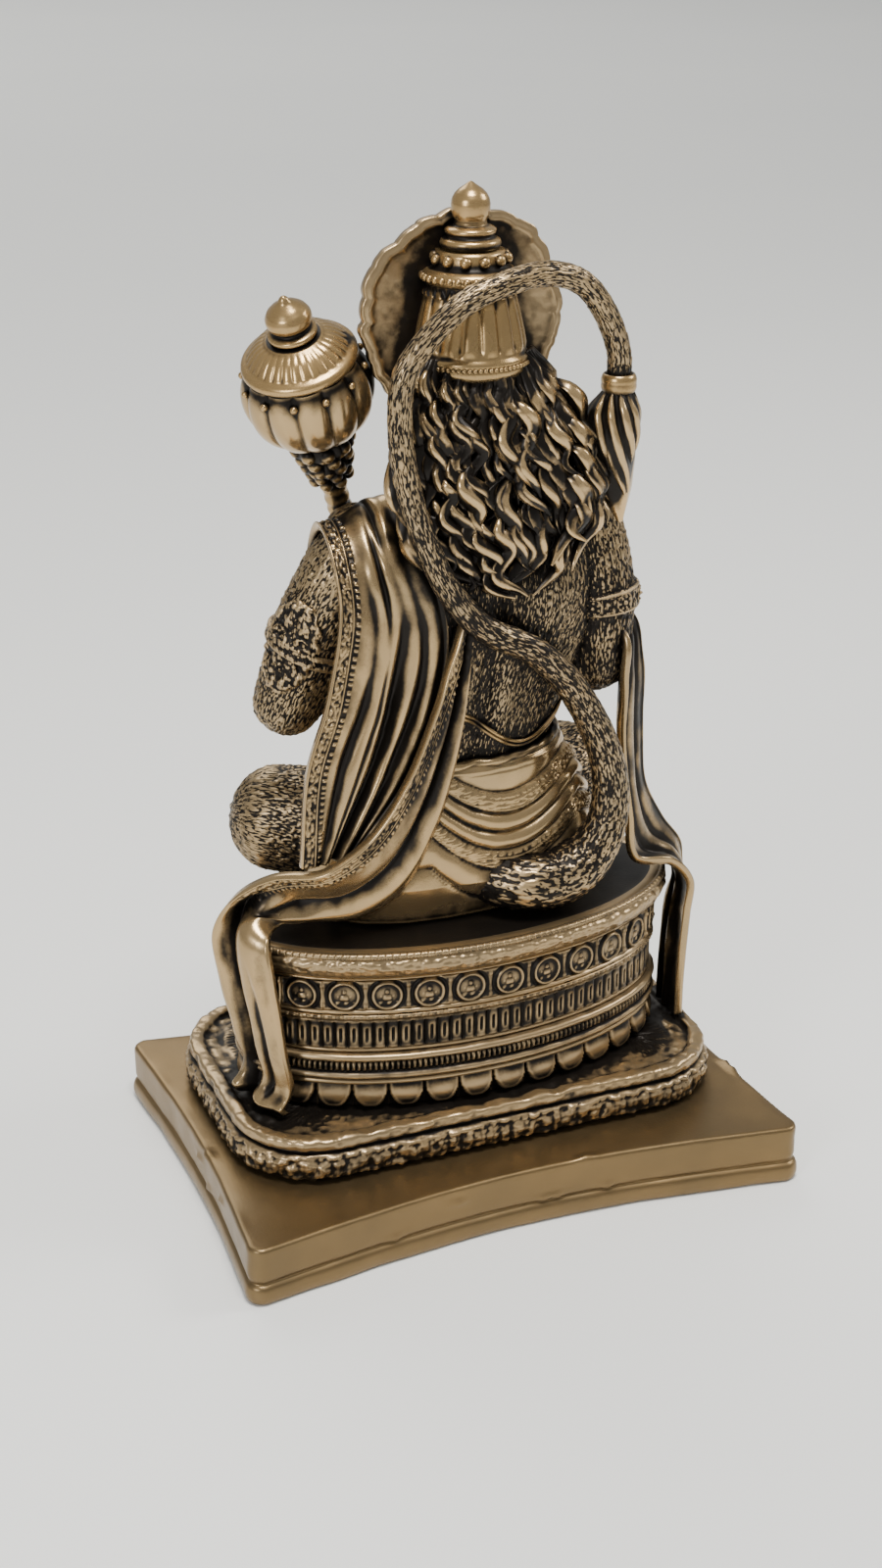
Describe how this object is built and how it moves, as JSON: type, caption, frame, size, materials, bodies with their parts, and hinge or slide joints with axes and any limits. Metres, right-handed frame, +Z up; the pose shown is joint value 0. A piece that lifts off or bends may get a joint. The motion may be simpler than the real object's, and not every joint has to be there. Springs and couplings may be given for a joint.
{
  "type": "seated devotional statue",
  "caption": "Cold-cast bronze guardian figure with a monkey's tail, seated cross-legged with a mace on an oval throne, deck and plinth, for a shelf or a home shrine.",
  "frame": {"origin": "middle of the plinth's foot, on the surface that the statue stands on", "axes": "+Z up; the figure looks along -Y; its left hand, with the mace, is at +X"},
  "size_m": [0.1324, 0.0964, 0.223],
  "materials": {
    "plinth_bronze": "satin bronze-filled resin, rubbed to an even sheen",
    "throne_bronze": "carved bronze-filled resin, dark patina in the recesses",
    "fur_bronze": "fine fur strokes in bronze-filled resin, dark between the strokes",
    "hair_bronze": "deep wavy locks in bronze-filled resin, bright on the crests",
    "cloth_bronze": "smooth folds in bronze-filled resin, rubbed bright on the ridges",
    "trim_bronze": "bright rubbed ornament in bronze-filled resin"
  },
  "bodies": {
    "root": {"plinth": "plinth_bronze", "deck": "throne_bronze", "petal_foot": "throne_bronze", "bead_course": "throne_bronze", "colonnade_course": "throne_bronze", "medallion_course": "throne_bronze", "seat_slab": "throne_bronze", "halo_plate": "throne_bronze", "torso": "fur_bronze", "head": "fur_bronze", "left_thigh": "fur_bronze", "right_thigh": "fur_bronze", "left_shin": "fur_bronze", "right_shin": "fur_bronze", "left_foot": "fur_bronze", "right_foot": "fur_bronze", "left_upper_arm": "fur_bronze", "right_upper_arm": "fur_bronze", "left_forearm": "fur_bronze", "right_forearm": "fur_bronze", "left_hand": "fur_bronze", "right_hand": "fur_bronze", "left_ear": "fur_bronze", "right_ear": "fur_bronze", "tail": "fur_bronze", "left_armlet": "fur_bronze", "right_armlet": "fur_bronze", "left_bracelet": "fur_bronze", "right_bracelet": "fur_bronze", "left_anklet": "fur_bronze", "right_anklet": "fur_bronze", "hair": "hair_bronze", "tail_tuft": "hair_bronze", "dhoti": "cloth_bronze", "shoulder_shawl": "cloth_bronze", "shawl_train": "cloth_bronze", "right_scarf": "cloth_bronze", "mace_head": "cloth_bronze", "waist_belt": "cloth_bronze", "mace_shaft": "trim_bronze", "mace_cap": "trim_bronze", "mace_finial": "trim_bronze", "mace_neck_ring": "trim_bronze", "mace_pommel": "trim_bronze", "crown": "trim_bronze", "crown_finial": "trim_bronze", "tail_ring": "trim_bronze", "left_earring": "trim_bronze", "right_earring": "trim_bronze", "sacred_thread": "trim_bronze", "necklace": "trim_bronze"}
  },
  "joints": []
}
